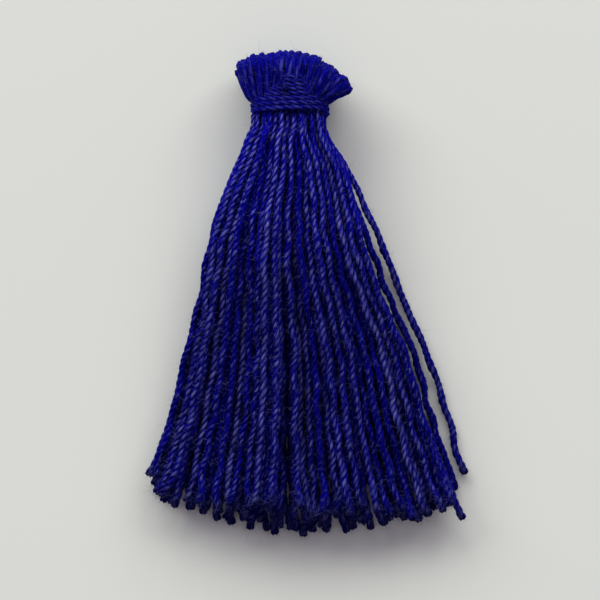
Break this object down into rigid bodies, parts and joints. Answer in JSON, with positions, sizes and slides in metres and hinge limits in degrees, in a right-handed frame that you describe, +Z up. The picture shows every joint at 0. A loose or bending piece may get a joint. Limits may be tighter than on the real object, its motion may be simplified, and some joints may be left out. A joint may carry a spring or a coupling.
{
  "type": "yarn tassel",
  "caption": "Small cotton yarn tassel lying flat: a flared head of folded loops, a wound neck and a long skirt of cut plied strands.",
  "frame": {"origin": "on the surface it lies on, under the flat underside of the flared head", "axes": "+Y along the tassel towards its head, +Z up from the surface, +X to its right as seen from above"},
  "size_m": [0.0199, 0.0306, 0.0044],
  "materials": {
    "yarn": "matt plied cotton",
    "binding_yarn": "matt plied cotton"
  },
  "bodies": {
    "root": {"yarn_bundle": "yarn", "neck_binding": "binding_yarn"}
  },
  "joints": []
}
